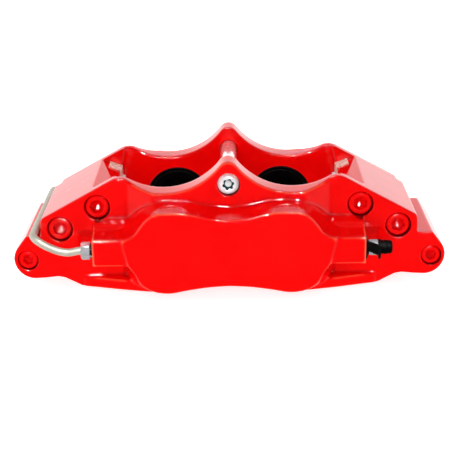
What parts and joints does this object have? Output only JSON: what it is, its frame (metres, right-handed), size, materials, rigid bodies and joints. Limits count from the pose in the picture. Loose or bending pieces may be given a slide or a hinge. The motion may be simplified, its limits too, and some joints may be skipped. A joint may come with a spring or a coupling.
{
  "type": "brake caliper",
  "caption": "Fixed opposed-piston disc brake caliper in two bolted halves, with an external crossover tube, bleed screws with tethered caps and lugs for radial bolting.",
  "frame": {"origin": "midway between the two mounting threads, on the mounting face of the inboard lugs", "axes": "+X along the caliper, towards the bleed screws; +Y inboard, out of the mounting threads towards the knuckle; +Z away from the axle"},
  "size_m": [0.2694, 0.124, 0.0847],
  "materials": {
    "body_paint": "high gloss red powder coat",
    "bolt_paint": "gloss red paint over steel",
    "zinc_steel": "bright zinc plate",
    "dowel_steel": "ground",
    "stainless_insert": "rolled wire, satin",
    "plated_tube": "pale zinc plate, soft drawn marks",
    "stainless_tube": "bright drawn stainless",
    "stainless_plate": "bright rolled stainless",
    "bright_bolt": "bright, lightly turned",
    "piston_anodised": "hard black anodised",
    "seal_rubber": "smooth",
    "boot_rubber": "satin",
    "cap_rubber": "satin moulded"
  },
  "bodies": {
    "caliper": {"outboard_body": "body_paint", "inboard_body": "body_paint", "bridge_bolts": "bolt_paint", "bridge_bolt_washers": "bolt_paint", "lug_bolts": "bolt_paint", "lug_bolt_washers": "bolt_paint", "locating_dowels": "dowel_steel", "mounting_thread_inserts": "stainless_insert", "crossover_tube": "plated_tube", "tube_nut_outboard": "zinc_steel", "tube_nut_inboard": "zinc_steel", "pad_bridge_tube": "stainless_tube", "pad_bridge_bolt": "bright_bolt", "pad_bridge_locknut": "zinc_steel", "abutment_plates": "stainless_plate", "abutment_screws": "bright_bolt", "cap_tether_outboard": "cap_rubber", "piston_seal_outboard_left": "seal_rubber", "dust_boot_outboard_left": "boot_rubber", "piston_seal_outboard_right": "seal_rubber", "dust_boot_outboard_right": "boot_rubber", "cap_tether_inboard": "cap_rubber", "piston_seal_inboard_left": "seal_rubber", "dust_boot_inboard_left": "boot_rubber", "piston_seal_inboard_right": "seal_rubber", "dust_boot_inboard_right": "boot_rubber"},
    "piston_outboard_left": {"piston_outboard_left": "piston_anodised"},
    "piston_outboard_right": {"piston_outboard_right": "piston_anodised"},
    "bleed_screw_outboard": {"bleed_screw_outboard": "zinc_steel"},
    "bleed_cap_outboard": {"bleed_cap_outboard": "cap_rubber"},
    "piston_inboard_left": {"piston_inboard_left": "piston_anodised"},
    "piston_inboard_right": {"piston_inboard_right": "piston_anodised"},
    "bleed_screw_inboard": {"bleed_screw_inboard": "zinc_steel"},
    "bleed_cap_inboard": {"bleed_cap_inboard": "cap_rubber"}
  },
  "joints": [
    {"name": "piston_outboard_left_slide", "type": "slide", "parent": "caliper", "child": "piston_outboard_left", "axis": [0, 1, 0], "range_m": [0, 0.01]},
    {"name": "piston_outboard_right_slide", "type": "slide", "parent": "caliper", "child": "piston_outboard_right", "axis": [0, 1, 0], "range_m": [0, 0.01]},
    {"name": "bleed_screw_outboard_turn", "type": "hinge", "parent": "caliper", "child": "bleed_screw_outboard", "pos_m": [0.083, -0.082, 0.0113], "axis": [1, 0, 0], "range_deg": [0, 360]},
    {"name": "bleed_cap_outboard_pull", "type": "slide", "parent": "caliper", "child": "bleed_cap_outboard", "axis": [1, 0, 0], "range_m": [0, 0.012]},
    {"name": "piston_inboard_left_slide", "type": "slide", "parent": "caliper", "child": "piston_inboard_left", "axis": [0, -1, 0], "range_m": [0, 0.01]},
    {"name": "piston_inboard_right_slide", "type": "slide", "parent": "caliper", "child": "piston_inboard_right", "axis": [0, -1, 0], "range_m": [0, 0.01]},
    {"name": "bleed_screw_inboard_turn", "type": "hinge", "parent": "caliper", "child": "bleed_screw_inboard", "pos_m": [0.083, 0.022, 0.0113], "axis": [1, 0, 0], "range_deg": [0, 360]},
    {"name": "bleed_cap_inboard_pull", "type": "slide", "parent": "caliper", "child": "bleed_cap_inboard", "axis": [1, 0, 0], "range_m": [0, 0.012]}
  ]
}
